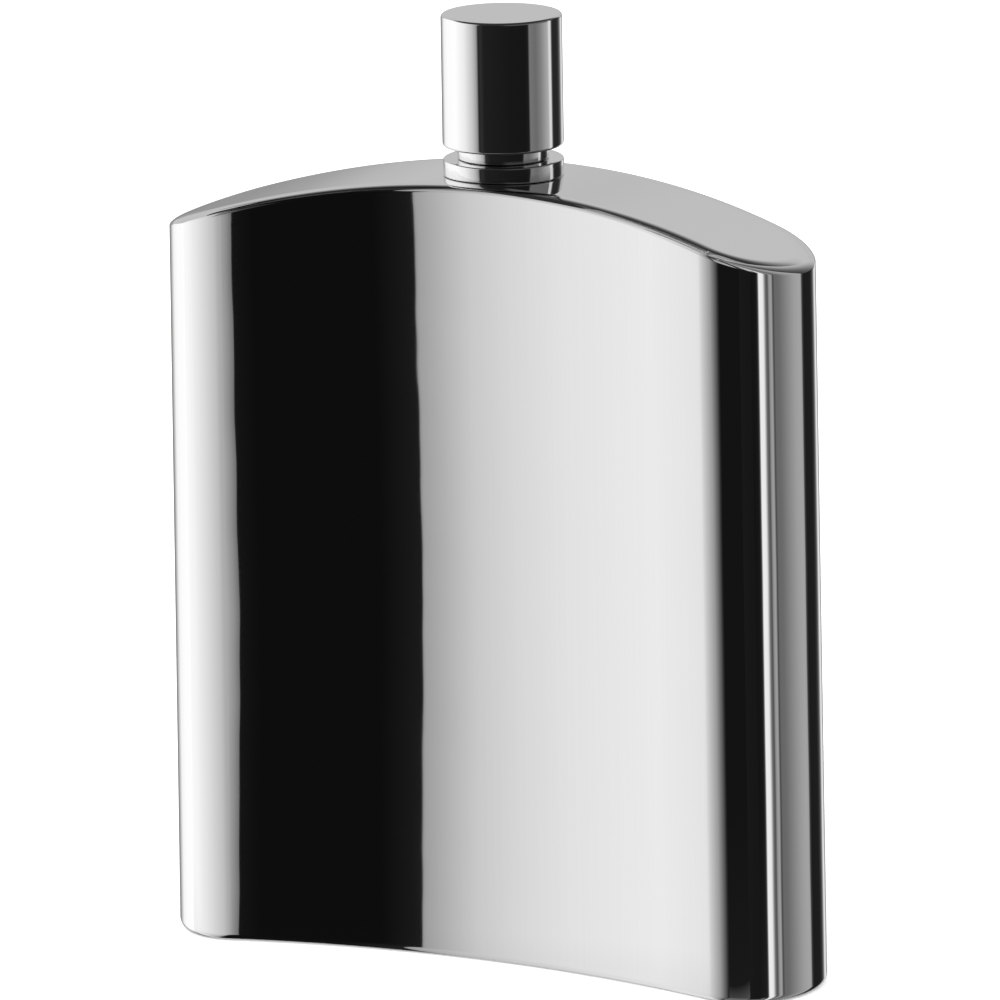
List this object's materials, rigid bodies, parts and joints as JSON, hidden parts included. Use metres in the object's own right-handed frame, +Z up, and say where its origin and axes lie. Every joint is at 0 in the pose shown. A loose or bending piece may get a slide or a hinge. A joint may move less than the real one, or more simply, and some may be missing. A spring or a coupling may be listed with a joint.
{
  "type": "hip flask",
  "caption": "Curved steel hip flask with an arched shoulder, a threaded pouring neck and a plain screw cap with a sealing liner.",
  "frame": {"origin": "on the neck's axis, in the plane of the flat base", "axes": "+Z up along the neck, +X to the right across the width, -Y towards the concave side that lies against the hip, +Y towards the convex side"},
  "size_m": [0.094, 0.0274, 0.1257],
  "materials": {
    "polished_steel": "mirror-polished stainless steel",
    "turned_steel": "turned stainless steel",
    "liner_plastic": "moulded, dark grey",
    "gasket_silicone": "soft, translucent white"
  },
  "bodies": {
    "flask": {"body_wall": "polished_steel", "top_plate": "polished_steel", "base_plate": "polished_steel", "neck_collar": "polished_steel", "neck_spout": "turned_steel"},
    "seal": {"cap_gasket": "gasket_silicone"},
    "cap": {"cap_shell": "polished_steel", "cap_liner": "liner_plastic"}
  },
  "joints": [
    {"name": "cap_lift", "type": "slide", "parent": "flask", "child": "seal", "axis": [0, 0, 1], "range_m": [0, 0.0091]},
    {"name": "cap_turn", "type": "hinge", "parent": "seal", "child": "cap", "pos_m": [0, 0, 0.1168], "axis": [0, 0, 1], "range_deg": [0, 2160]}
  ],
  "couplings": [
    {"joint": "cap_lift", "follows": "cap_turn", "m_per_rad": 0.00023873}
  ]
}
